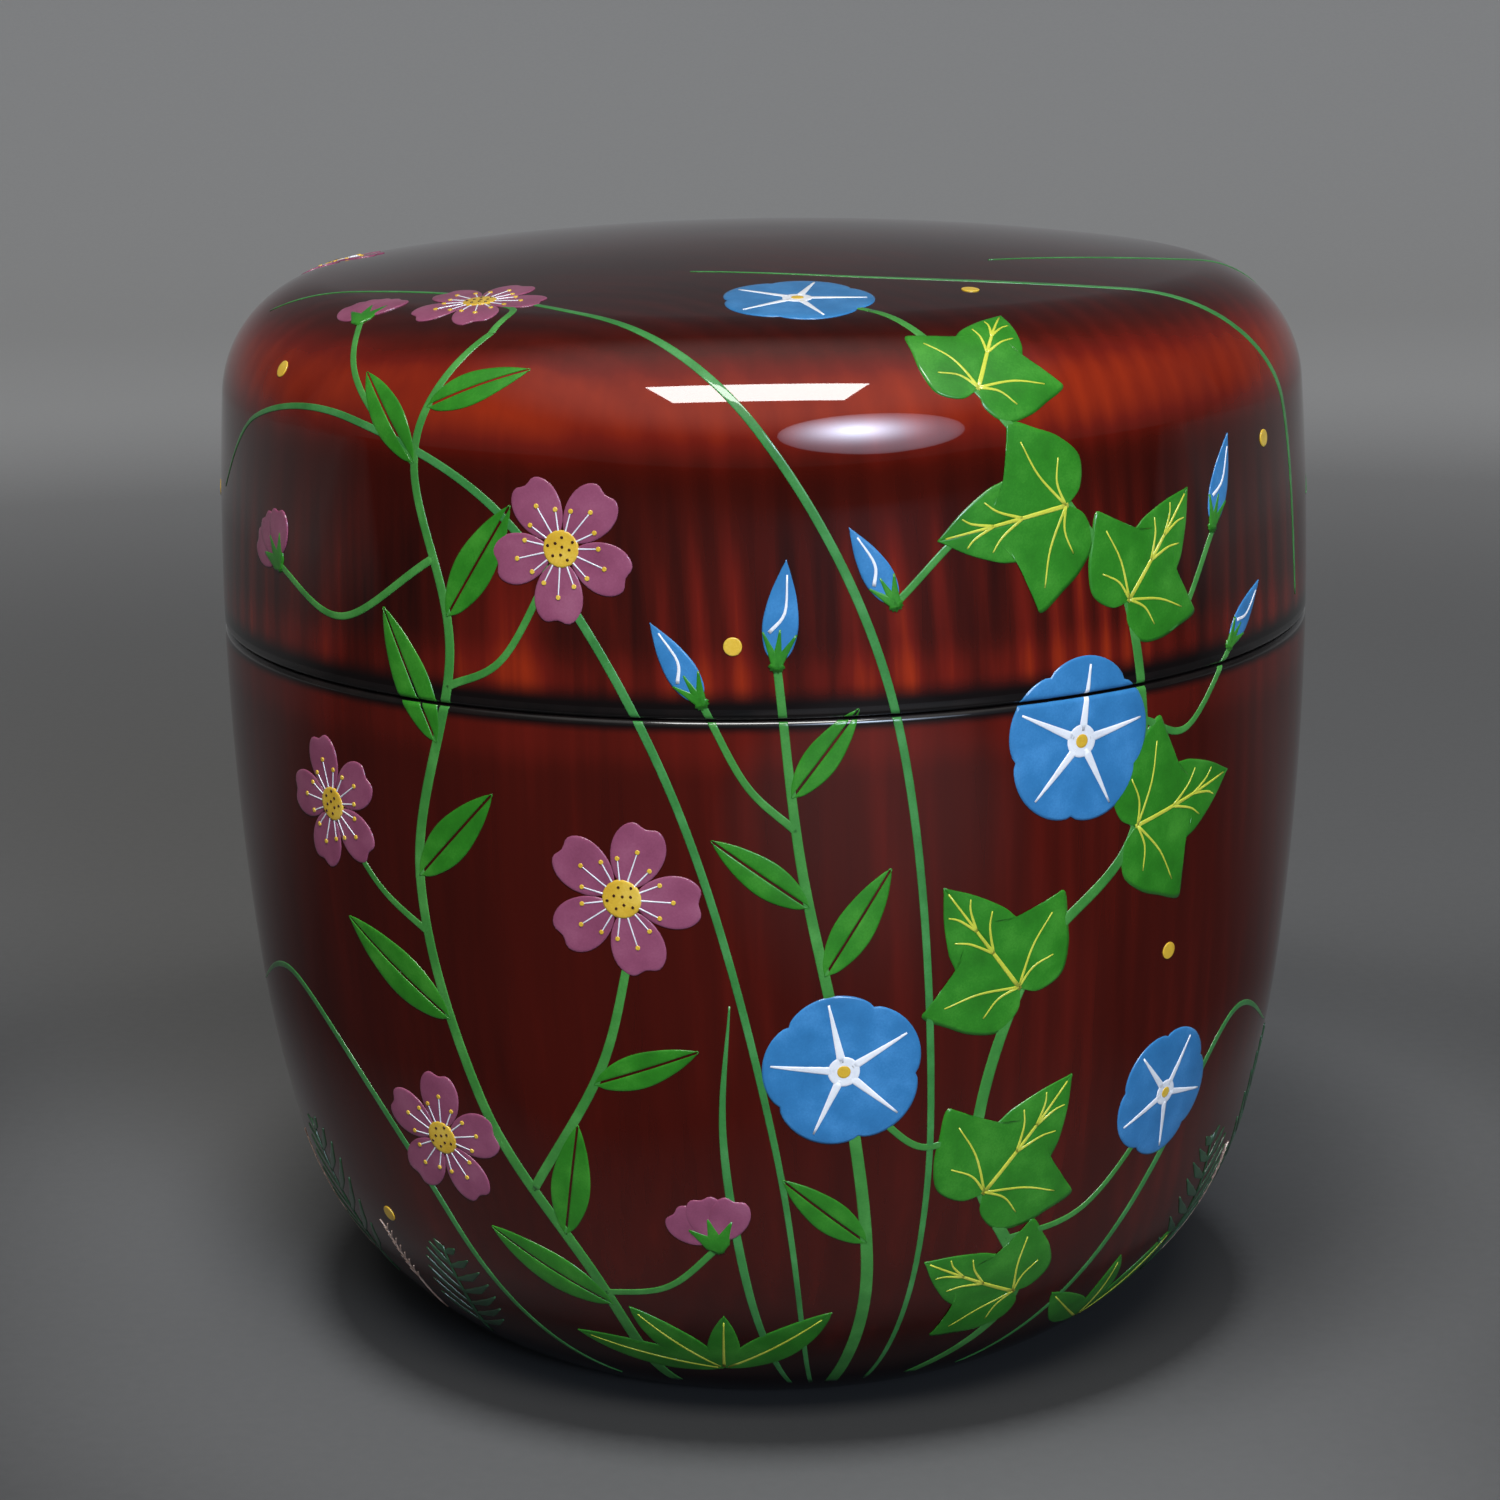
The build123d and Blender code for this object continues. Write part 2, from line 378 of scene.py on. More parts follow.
    # Polishing leaves waves about a centimetre long and far too low to feel.
    polish = add("TexNoise", {"Vector": in_mm, "Scale": 0.09, "Detail": 1.0})
    waves = add("Bump", {"Height": polish, "Strength": 0.05, "Distance": 0.0002})
    wood_coat = {"Coat Weight": 1.0, "Coat Roughness": 0.02, "Coat IOR": 1.52, "Coat Normal": waves}
    under_coat = {"Base Color": shaded.outputs[2], "Roughness": 0.5, "Specular IOR Level": 0.0}
    shader = add("BsdfPrincipled", {**under_coat, "Normal": waves, **wood_coat})
    add("OutputMaterial", {"Surface": shader})
    return material


hollow_radius = (foot_inner_radius**2 + foot_hollow_depth**2) / (2 * foot_hollow_depth)
hollow_bearing = asin(foot_inner_radius / hollow_radius)
hollow_centre = (0, foot_hollow_depth - hollow_radius)
underside = arc(hollow_centre, hollow_radius, pi / 2, pi / 2 - hollow_bearing, spacing=0.6)
rebate = [[rim_outer_radius, seam - mouth_band], [rim_outer_radius, rim_foot]]
body_outside = outside_between(0, seam - mouth_band)
body_section = np.concatenate([underside, body_outside, rebate, tea_space(lining_thickness)])
lid_outside = outside_between(seam + mouth_band, overall_height)[::-1]
lid_section = np.concatenate([lid_outside, lid_hollow(lining_thickness)])
red_lacquer = red_lacquered_wood()
turned("turned_body", body_section, "body", "caddy_body", red_lacquer)
turned("turned_lid", lid_section, "lid", "caddy_lid", red_lacquer)


# Linings and standing rim: black lacquer, brushed on and left to level without polishing.
# It is deep black and wet-looking, with the faintest ripple of the brush round the bore.
def black_lacquer():
    """Near-black coat whose colour and level vary a little with slow noise."""
    material, add, in_mm = new_material("black_lacquer_brushed")
    brush = add("TexNoise", {"Vector": in_mm, "Scale": 0.5, "Detail": 2.0})
    colour = add("ValToRGB", [brush], [(0.3, "#060505"), (0.7, "#120c0b")])
    ripple = add("Bump", {"Height": brush, "Strength": 0.08, "Distance": 0.0002})
    under_coat = {"Base Color": colour, "Normal": ripple, "Roughness": 0.4, "Specular IOR Level": 0.1}
    black_coat = {"Coat Weight": 1.0, "Coat Roughness": 0.04, "Coat IOR": 1.52}
    shader = add("BsdfPrincipled", {**under_coat, **black_coat})
    add("OutputMaterial", {"Surface": shader})
    return material


mouth_edge = girth_radius - mouth_rounding
rim_inner_radius = 29.4
rim_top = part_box("standing_rim")[1].z / MM
rim_rounding = 0.4
bore_rounding = 0.25
edge_spacing = 0.05
rim_parts = [
    [[rim_inner_radius, rim_foot], [rim_outer_radius, rim_foot], [rim_outer_radius, seam - mouth_band]],
    outside_between(seam - mouth_band, seam - mouth_rounding),
    arc((mouth_edge, seam - mouth_rounding), mouth_rounding, 0, pi / 2, edge_spacing)[1:],
    [[rim_outer_radius, seam]],
    arc((rim_outer_radius - rim_rounding, rim_top - rim_rounding), rim_rounding, 0, pi / 2, edge_spacing),
    arc((rim_inner_radius + rim_rounding, rim_top - rim_rounding), rim_rounding, pi / 2, pi, edge_spacing),
]
lid_lining_parts = [
    lid_hollow(lining_thickness)[::-1],
    outside_between(seam + mouth_rounding, seam + mouth_band)[::-1],
    arc((mouth_edge, seam + mouth_rounding), mouth_rounding, 0, -pi / 2, edge_spacing)[1:],
    arc((bore_radius + bore_rounding, seam + bore_rounding), bore_rounding, -pi / 2, -pi, edge_spacing),
    lid_hollow(0),
]
black = black_lacquer()
rim_mesh = turned("turned_rim", np.concatenate(rim_parts), "standing_rim", "caddy_body", black)

# The body's red lacquer runs up over the outer face of the ledge, to where its edge is rounded.
rim_mesh.materials.append(red_lacquer)
centres = np.empty(len(rim_mesh.polygons) * 3)
rim_mesh.polygons.foreach_get("center", centres)
x, y, z = centres.reshape(-1, 3).T / MM
face_middle = seam - (mouth_band + mouth_rounding) / 2
half_face = (mouth_band - mouth_rounding) / 2
slack = 0.005
on_face = (np.hypot(x, y) > mouth_edge) & (np.abs(z - face_middle) < half_face + slack)
rim_mesh.polygons.foreach_set("material_index", on_face.astype(np.int32))
turned("lid_lining_and_band", np.concatenate(lid_lining_parts), "lid_lining", "caddy_lid", black)
lining_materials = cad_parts["body_lining"].data.materials
lining_materials.clear()
lining_materials.append(black)


# Stems and grass, painted over the lacquer: green lacquer paint, laid on with a fine brush.
# Each stroke is a film a few hundredths of a millimetre thick, and it is cut where the lid opens.
# Places are (turn, rise): degrees to the right of the front, millimetres up the skin from the seam.
cut_gap = 0.1
edge_depths = (0.35, 0.26, 0.18, cut_gap)
film_sink = 0.06


def unit(rows):
    """Each row as a direction of length one."""
    return rows / np.linalg.norm(rows, axis=1, keepdims=True)


def skin_table():
    """The outside as rows of rise, radius, height and the two parts of the normal, which is the
    chain's direction turned a quarter to the right."""
    steps = np.hypot(*np.diff(outside, axis=0).T)
    rise = np.concatenate([[0], np.cumsum(steps)])
    ahead = unit(np.gradient(outside, rise, axis=0))
    rise -= np.interp(seam, outside[:, 1], rise)
    return np.column_stack([rise, outside, ahead[:, 1], -ahead[:, 0]])


skin = skin_table()
skin_middle = 0.5 * overall_height
skin_bearing = np.arctan2(skin[:, 2] - skin_middle, skin[:, 1])


def on_skin(rise):
    """Radius, height and normal of the skin at a rise, as four arrays."""
    return [np.interp(rise, skin[:, 0], column) for column in skin[:, 1:].T]


def rise_of(points):
    """Rise of the skin's nearest points: first guess by bearing from the middle, then eight steps
    along the tangent to the foot of the perpendicular."""
    out = np.hypot(points[..., 0], points[..., 1])
    high = points[..., 2]
    rise = np.interp(np.arctan2(high - skin_middle, out), skin_bearing, skin[:, 0])
    for _ in range(8):
        radius, height, normal_out, normal_up = on_skin(rise)
        rise = rise + (high - height) * normal_out - (out - radius) * normal_up
    return rise


def laid(points, lift):
    """Nearest points of the skin, moved out along its normal by lift."""
    radius, height, normal_out, normal_up = on_skin(rise_of(points))
    out = radius + lift * normal_out
    turn = np.arctan2(points[..., 0], -points[..., 1])
    return np.stack([out * np.sin(turn), -out * np.cos(turn), height + lift * normal_up], -1)


def skin_points(marks):
    """Points on the skin at (turn, rise) marks."""
    turn = np.radians([mark[0] for mark in marks])
    radius, height, _, _ = on_skin([mark[1] for mark in marks])
    return np.stack([radius * np.sin(turn), -radius * np.cos(turn), height], -1)


def mark_of(point):
    """Turn and rise of a point on the skin."""
    return degrees(atan2(point[0], -point[1])), float(rise_of(point))


def curve(points, steps):
    """Smooth curve through the points: each span is a cubic that leaves and meets its two points in
    the direction between their neighbours, and the ends are mirrored."""
    points = np.asarray(points, float)
    padded = np.concatenate([2 * points[:1] - points[1:2], points, 2 * points[-1:] - points[-2:-1]])
    t = np.linspace(0, 1, steps, endpoint=False)[None, :, None]
    a, b, c, d = (padded[i : len(padded) - 3 + i, None] for i in range(4))
    bend = (2 * a - 5 * b + 4 * c - d) * t**2 + (3 * b - a - 3 * c + d) * t**3
    spans = b + ((c - a) * t + bend) / 2
    return np.concatenate([spans.reshape(-1, points.shape[1]), points[-1:]])


def stroke_film(left, right, lift):
    """Film of paint between two margins: each row is a closed loop that climbs out of the lacquer
    at one margin, crosses a nearly flat crown and dives in again at the other."""
    share = np.array([0, 0, 0.05, 0.16, 0.33, 0.5, 0.67, 0.84, 0.95, 1, 1])
    crown = lift * np.array([0, 0.45, 0.8, 0.96, 1, 1, 1, 0.96, 0.8, 0.45, 0])
    crown[[0, -1]] = -film_sink
    rows = left[:, None] + (right - left)[:, None] * share[None, :, None]
    return laid(rows, crown)


def half_widths(widths, points):
    """Half the width at each of so many points, for a list of widths from the start to the end."""
    share = np.linspace(0, 1, points)
    return np.interp(share, np.linspace(0, 1, len(widths)), widths)[:, None] / 2


def brush_line(marks, widths, lift):
    """Ribbon along the curve through (turn, rise) marks, as wide as the list of widths says from its
    start to its end. Returns its middle line and its film."""
    middle = laid(curve(skin_points(marks), steps=24), 0)
    outward = laid(middle, 1) - middle
    aside = unit(np.cross(np.gradient(middle, axis=0), outward)) * half_widths(widths, len(middle))
    return middle, stroke_film(middle - aside, middle + aside, lift)


def shells_to_mesh(name, shells):
    """Mesh of closed shells, each a grid of rows by loops, with quads between rows and a cap on the
    first and last row."""
    points, faces, start = [], [], 0
    for shell in shells:
        rows, loop = shell.shape[:2]
        number = start + np.arange(rows * loop).reshape(rows, loop)
        faces += quads_of(np.column_stack([number, number[:, 0]]))
        faces += [number[0, ::-1].tolist(), number[-1].tolist()]
        points.append(shell.reshape(-1, 3) * MM)
        start += rows * loop
    mesh = bpy.data.meshes.new(name)
    mesh.from_pydata(np.concatenate(points).tolist(), [], faces)
    return mesh


def round_into_mouth(mesh):
    """Draws paint in over the rounded edges of the two mouths: at a distance d from the seam, less
    than the rounding r, the radius falls by r - sqrt(r^2 - (r - d)^2)."""
    flat = np.empty(len(mesh.vertices) * 3)
    mesh.vertices.foreach_get("co", flat)
    points = flat.reshape(-1, 3)
    radius = np.hypot(points[:, 0], points[:, 1])
    rounding = mouth_rounding * MM
    into_edge = np.clip(rounding - np.abs(points[:, 2] - seam * MM), 0, None)
    fall = rounding - np.sqrt(rounding**2 - into_edge**2)
    points[:, :2] *= 1 - (fall / radius)[:, None]
    mesh.vertices.foreach_set("co", points.ravel())


def painted(name, shells, material):
    """Makes the lid's part and the body's part of a painted motif. Cuts near the seam give it edges
    to bend over the mouth's rounding, and the last one, cut_gap from the seam, parts the two."""
    for body, side in (("caddy_lid", 1), ("caddy_body", -1)):
        cut_height = seam + side * cut_gap
        chosen = [shell for shell in shells if (side * (shell[..., 2] - cut_height)).max() > 0]
        if not chosen:
            continue
        mesh = shells_to_mesh(f"painted_{name}_{body.removeprefix('caddy_')}", chosen)
        solid = bmesh.new()
        solid.from_mesh(mesh)
        for depth in edge_depths:
            plane = (0, 0, (seam + side * depth) * MM)
            whole = solid.verts[:] + solid.edges[:] + solid.faces[:]
            last = depth == cut_gap
            cut = bmesh.ops.bisect_plane(
                solid, geom=whole, plane_co=plane, plane_no=(0, 0, -side), clear_outer=last
            )
        open_edges = [item for item in cut["geom_cut"] if isinstance(item, bmesh.types.BMEdge)]
        bmesh.ops.holes_fill(solid, edges=open_edges, sides=0)
        bmesh.ops.recalc_face_normals(solid, faces=solid.faces[:])
        solid.to_mesh(mesh)
        solid.free()
        round_into_mouth(mesh)
        mesh.shade_smooth()
        mesh.materials.append(material)
        piece = add_object(mesh.name, mesh)
        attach(piece, body)


def lacquer_paint(name, deep, plain, thin):
    """Pigment ground into lacquer: the colour sinks where the brush left a little less, with fine
    grains of pigment, under a smooth skin."""
    grain_share = 0.35
    material, add, in_mm = new_material(name)
    pooled = add("TexNoise", {"Vector": in_mm, "Scale": 0.55, "Detail": 3.0})
    grains = add("TexNoise", {"Vector": in_mm, "Scale": 9.0, "Detail": 2.0})
    mixed = add("Math", [grains, grain_share, pooled], operation="MULTIPLY_ADD")
    colour = add("ValToRGB", [mixed], [(0.3, deep), (0.67, plain), (1.0, thin)])
    brushed = add("Bump", {"Height": mixed, "Strength": 0.15, "Distance": 0.00004})
    under_coat = {"Base Color": colour, "Normal": brushed, "Roughness": 0.45, "Specular IOR Level": 0.15}
    paint_coat = {"Coat Weight": 0.7, "Coat Roughness": 0.06, "Coat IOR": 1.52}
    shader = add("BsdfPrincipled", {**under_coat, **paint_coat})
    add("OutputMaterial", {"Surface": shader})
    return material


stem_lift = 0.035
stem_widths = (0.75, 0.7, 0.65, 0.55, 0.45)
grass_widths = (0.25, 0.42, 0.5, 0.46, 0.32, 0.1)
vine_marks = {
    "right_vine": [
        (20, -45), (29, -36), (21, -26), (26, -15), (38, -8), (37, 4), (29, 11), (21, 17), (13, 24),
    ],
    "left_spray": [(-15, -45), (-20, -34), (-31, -23), (-36, -10), (-31, 3), (-35, 13), (-30, 21)],
    "middle_shoot": [(8, -45), (10, -33), (7, -20), (3, -8), (1, 3)],
    "far_vine": [(150, -44), (162, -32), (152, -18), (163, -6), (176, 4), (170, 14), (186, 23)],
    "far_spray": [(-122, -44), (-114, -30), (-121, -16), (-108, -4), (-112, 8), (-100, 17)],
}
grass_marks = [
    [(5, -45), (0, -24), (-9, -4), (-24, 10), (-44, 15), (-62, 14), (-74, 9)],
    [(13, -45), (16, -24), (12, 0), (0, 15), (-18, 23), (-46, 26), (-74, 20)],
    [(-24, -45), (-42, -28), (-60, -19), (-78, -22)],
    [(28, -45), (44, -32), (58, -22), (74, -25)],
    [(2, -45), (-3, -34), (-5, -24), (-4, -16)],
    [(70, 2), (66, 14), (50, 24), (22, 31), (-14, 34)],
    [(78, -30), (92, -12), (100, 4), (96, 16), (80, 26), (50, 33)],
    [(-80, -44), (-86, -22), (-96, -6), (-112, 0), (-128, -5)],
    [(128, -45), (124, -22), (114, -2), (98, 9), (80, 7)],
    [(-150, -45), (-146, -20), (-152, 2), (-166, 16), (-190, 24)],
    [(196, -45), (200, -28), (210, -14), (224, -10)],
]
stems = {name: brush_line(marks, stem_widths, stem_lift) for name, marks in vine_marks.items()}


def rooted(stem, marks):
    """Marks of a side shoot, with the first one moved to the nearest point of its stem."""
    middle = stems[stem][0]
    distance = np.linalg.norm(middle - skin_points(marks[:1]), axis=1)
    return [mark_of(middle[np.argmin(distance)])] + marks[1:]


side_shoot = rooted("left_spray", [(-26, -28), (-17, -20), (-13, -12)])
stems["left_side_shoot"] = brush_line(side_shoot, (0.55, 0.55, 0.45), stem_lift)
stem_green = lacquer_paint("green_lacquer_paint_stems", "#2a6a2a", "#3a7d34", "#4f9446")
grass_green = lacquer_paint("green_lacquer_paint_grass", "#28602c", "#367a3a", "#4a8c4e")
painted("stems", [film for _, film in stems.values()], stem_green)
grass = [brush_line(marks, grass_widths, stem_lift)[1] for marks in grass_marks]
painted("grass", grass, grass_green)


# Leaves: each is two half leaves of green paint with a slit between them for the midrib.
# The broad ones have three points and fine yellow-green veins, the narrow ones are plain.
leaf_lift = 0.05
vein_lift = 0.07
midrib_slit = 0.07
least_width = 0.03
broad_margin_shares = [
    (0, 0), (0.10, -0.12), (0.30, -0.15), (0.46, -0.02), (0.56, 0.14), (0.66, 0.34), (0.47, 0.36),
    (0.30, 0.42), (0.25, 0.58), (0.14, 0.80), (0, 1.0),
]
narrow_margin_shares = [
    (0, 0), (0.08, 0.1), (0.145, 0.3), (0.155, 0.5), (0.11, 0.74), (0.045, 0.92), (0, 1.0),
]

# Side veins of a broad leaf: how far up the midrib they start, and how far across and up they end.
vein_shares = [(0.02, 0.50, 0.28), (0.02, 0.33, 0.02), (0.36, 0.17, 0.62), (0.58, 0.10, 0.80)]


def touching(turn, rise):
    """Point of the skin at (turn, rise), and the directions to the right and up along the skin."""
    radius, height, normal_out, normal_up = on_skin(rise)
    round_by = radians(turn)
    outward = np.array([sin(round_by), -cos(round_by), 0])
    rightward = np.array([cos(round_by), sin(round_by), 0])
    skyward = np.array([0, 0, 1])
    return outward * radius + skyward * height, rightward, skyward * normal_out - outward * normal_up


def drawn(flat, turn, rise, heading):
    """Places a flat drawing in the plane that touches the skin at (turn, rise), with its upright
    turned clockwise by heading, in degrees."""
    point, rightward, upward = touching(turn, rise)
    tilt = radians(heading)
    x_axis = rightward * cos(tilt) - upward * sin(tilt)
    y_axis = rightward * sin(tilt) + upward * cos(tilt)
    return point + flat @ [x_axis, y_axis]


def leaning(place, lean):
    """The same place with its heading turned by lean."""
    turn, rise, heading = place
    return turn, rise, heading + lean


def perch(stem, share, aside):
    """Turn, rise and heading at a share of a stem's length, with the heading turned by aside."""
    middle = stems[stem][0]
    number = int(share * (len(middle) - 1))
    turn, rise = mark_of(middle[number])
    _, rightward, upward = touching(turn, rise)
    ahead = middle[number + 1] - middle[number]
    return turn, rise, degrees(atan2(ahead @ rightward, ahead @ upward)) + aside


def leaf_films(margin_shares, length, place, slit):
    """Two half leaves. Every row runs from the midrib to the margin's point of the same share."""
    margin = curve(np.array(margin_shares) * length, steps=6)
    share = np.linspace(0, 1, len(margin))
    midrib = np.stack([np.full(len(margin), slit), share * length], -1)
    midrib[[0, -1], 0] = 0
    margin[:, 0] = np.maximum(margin[:, 0], midrib[:, 0] + least_width)
    return [
        stroke_film(drawn(midrib * [side, 1], *place), drawn(margin * [side, 1], *place), leaf_lift)
        for side in (-1, 1)
    ]


def line_film(shares, size, widths, place, lift):
    """Tapered flat line through a few drawn points, which are given as shares of a size."""
    middle = curve(np.array(shares) * size, steps=5)
    along = np.gradient(middle, axis=0)
    aside = unit(np.stack([along[:, 1], -along[:, 0]], -1)) * half_widths(widths, len(middle))
    return stroke_film(drawn(middle - aside, *place), drawn(middle + aside, *place), lift)


def vein_films(length, place):
    """Midrib and side veins of a broad leaf, each a line that thins towards its end."""
    films = [line_film([(0, 0), (0, 0.5), (0, 0.94)], length, (0.28, 0.1), place, vein_lift)]
    for start, across, up in vein_shares:
        for side in (-1, 1):
            vein = [(0, start), (side * across / 2, (start + up) / 2 + 0.04), (side * across, up)]
            films.append(line_film(vein, length, (0.18, 0.08), place, vein_lift))
    return films


broad_spread = 62
narrow_spread = 43.4
broad_leaves = {
    "right_vine": [
        (0.12, -1, 7.5), (0.22, 1, 8.5), (0.36, -1, 8.0), (0.5, 1, 8.5), (0.64, 1, 7.5), (0.74, -1, 8.0),
        (0.88, 1, 7.0),
    ],
    "far_vine": [(0.15, 1, 8.5), (0.32, -1, 8.0), (0.5, 1, 8.5), (0.66, -1, 8.0), (0.84, 1, 7.0)],
}
narrow_leaves = {
    "left_spray": [
        (0.14, -1, 8.5), (0.22, 1, 7.5), (0.4, -1, 9.0), (0.5, 1, 7.5), (0.6, -1, 8.0), (0.7, 1, 7.5),
        (0.84, -1, 7.0), (0.9, 1, 6.5),
    ],
    "left_side_shoot": [(0.45, 1, 6.5)],
    "middle_shoot": [(0.3, -1, 6.5), (0.62, 1, 7.0), (0.7, -1, 6.5), (0.84, 1, 6.0)],
    "far_spray": [
        (0.12, 1, 8.5), (0.26, -1, 8.0), (0.4, 1, 8.5), (0.54, -1, 8.0), (0.7, 1, 7.5), (0.86, -1, 7.0),
    ],
}
ground_leaves = [
    (-7, -42, -75, 9.0), (-7, -42, -40, 8.0), (-7, -42, 5, 6.0), (-7, -42, 50, 9.0), (48, -43, -50, 8.0),
    (48, -43, -8, 7.0), (48, -43, 40, 8.5), (180, -42, -60, 8.5), (180, -42, -15, 7.5),
    (180, -42, 35, 9.0),
]
leaves, veins = [], []
for *place, length in ground_leaves:
    leaves += leaf_films(narrow_margin_shares, length, place, 0)
    veins.append(line_film([(0, 0.04), (0, 0.5), (0, 0.9)], length, (0.2, 0.08), place, vein_lift))
for stem, entries in broad_leaves.items():
    for share, side, length in entries:
        place = perch(stem, share, side * broad_spread)
        leaves += leaf_films(broad_margin_shares, length, place, 0)
        veins += vein_films(length, place)
for stem, entries in narrow_leaves.items():
    for share, side, length in entries:
        place = perch(stem, share, side * narrow_spread)
        leaves += leaf_films(narrow_margin_shares, length, place, midrib_slit)
leaf_green = lacquer_paint("green_lacquer_paint_leaves", "#1d5f12", "#28741a", "#3f8a2a")
vein_green = lacquer_paint("yellow_green_lacquer_paint", "#9ca634", "#b8bc3c", "#cccc58")
painted("leaves", leaves, leaf_green)
painted("leaf_veins", veins, vein_green)


# Blue trumpet flowers, seen from the front, with slender buds: blue paint under white rays.
# Five rays lead to five soft points of the rim, round a pale throat with a yellow heart.
petal_lift = 0.06
ray_lift = 0.085
heart_lift = 0.11
throat_share = 0.2
heart_share = 0.085


def disc_film(outline, place, lift):
    """Film inside a closed outline: rings that shrink to the drawing's middle, over and under."""
    middle = outline.mean(axis=0)
    share = np.array([0.03, 0.25, 0.5, 0.75, 0.9, 0.97, 1, 1, 0.03])
    crown = lift * np.array([1, 1, 1, 1, 0.97, 0.85, 0.5, 0, 0])
    crown[-2:] = -film_sink
    rings = middle + (outline - middle)[None] * share[:, None, None]
    return laid(drawn(rings, *place), crown[:, None])


def round_film(radius, place, lift, middle=(0, 0), points=24):
    """Film inside a circle about a drawn point."""
    angle = np.linspace(0, 2 * pi, points, endpoint=False)
    circle = np.stack([middle[0] + radius * np.sin(angle), middle[1] + radius * np.cos(angle)], -1)
    return disc_film(circle, place, lift)


def trumpet_outline(radius):
    """Rim with five lobes: radius times 0.9 + 0.1 |cos 2.5a|^0.6, so that rays end at soft points."""
    angle = np.linspace(0, 2 * pi, 90, endpoint=False)
    reach = radius * (0.9 + 0.1 * np.abs(np.cos(2.5 * angle)) ** 0.6)
    return np.stack([reach * np.sin(angle), reach * np.cos(angle)], -1)


trumpets = [
    (31, -2.5, 8, 4.7), (7, -20, -12, 4.5), (5, 27, 20, 4.2), (46, -25, 30, 4.0), (158, -12, 10, 4.6),
    (182, 22, -15, 4.4), (140, -30, 25, 4.1),
]
buds = [
    (1, 3, 6, 5.6), (-6, 1, -32, 5.0), (49, 8, 20, 5.2), (52, 1, 48, 4.6), (12, 6, -30, 4.8),
    (174, -18, -20, 5.0),
]
blue, white, gold, calyxes = [], [], [], []
for *place, radius in trumpets:
    blue.append(disc_film(trumpet_outline(radius), place, petal_lift))
    white.append(round_film(throat_share * radius, place, ray_lift))
    gold.append(round_film(heart_share * radius, place, heart_lift))
    for number in range(5):
        widths = (0.12 * radius, 0.12)
        ray_place = leaning(place, 360 / 5 * number)
        white.append(line_film([(0, 0.12), (0, 0.5), (0, 0.9)], radius, widths, ray_place, ray_lift))
bud_margin_shares = [(0, 0), (0.12, 0.12), (0.17, 0.36), (0.13, 0.64), (0.05, 0.88), (0, 1.0)]
for *place, length in buds:
    margin = curve(np.array(bud_margin_shares) * length, steps=6)
    margin[:, 0] = np.maximum(margin[:, 0], least_width)
    blue.append(stroke_film(drawn(margin * [-1, 1], *place), drawn(margin, *place), petal_lift))
    twist = [(-0.1, 0.3), (0.03, 0.5), (0.02, 0.86)]
    white.append(line_film(twist, length, (0.22, 0.1), place, ray_lift))
    sepal = [(0, -0.06), (0, 0.14), (0, 0.34)]
    for lean in (-28, 0, 28):
        calyxes.append(line_film(sepal, length, (0.7, 0.1), leaning(place, lean), ray_lift))
blue_paint = lacquer_paint("blue_lacquer_paint", "#266494", "#3072a6", "#4486bc")
white_paint = lacquer_paint("white_lacquer_paint", "#c4c8ce", "#d8dade", "#e6e6e6")
gold_paint = lacquer_paint("yellow_lacquer_paint", "#b88c22", "#cca634", "#dcbc54")

trumpet_stalks = {
    "middle_shoot": [[(2.5, -6), (-2, -3.5), (-6, 1)]],
    "right_vine": [
        [(38, -8), (35, -6), (31, -2.5)], [(22, -24), (15, -25), (9, -22)], [(13, 24), (9, 26), (5, 27)],
        [(26, -32), (36, -31), (45, -26)], [(37, 4), (43, 3), (49, 7.7)], [(37, -2), (45, -3), (52, 0.8)],
        [(29, 11), (20, 10), (12, 6)],
    ],
    "far_vine": [
        [(158, -24), (155, -18), (158, -13)], [(160, -9), (170, -15), (174, -18)],
        [(158, -34), (148, -35), (141, -31)],
    ],
}
stalk_widths = (0.45, 0.4, 0.4)


def stalk_films(stalks):
    """Thin stalks, whose marks are listed by the stem that they start on."""
    return [
        brush_line(rooted(stem, marks), stalk_widths, stem_lift)[1]
        for stem, entries in stalks.items()
        for marks in entries
    ]


painted("stalks", stalk_films(trumpet_stalks), stem_green)
painted("trumpets", blue, blue_paint)


# Mauve blossoms on the two sprays: five round notched petals with slits between them, and three in
# a green calyx where one is half open. Small dark grains lie in a yellow heart, and fine pale
# stamens stand round it.
def petal_outline(radius):
    """Petal about the upright: an oval whose top is notched by a narrow bell curve."""
    angle = np.linspace(-pi, pi, 40, endpoint=False)
    notch = 1 - 0.2 * np.exp(-((angle / 0.32) ** 2))
    x = 0.325 * radius * np.sin(angle) * (1 + 0.16 * np.cos(angle))
    y = radius * (0.58 + 0.42 * np.cos(angle) * notch)
    return np.stack([x, y], -1)


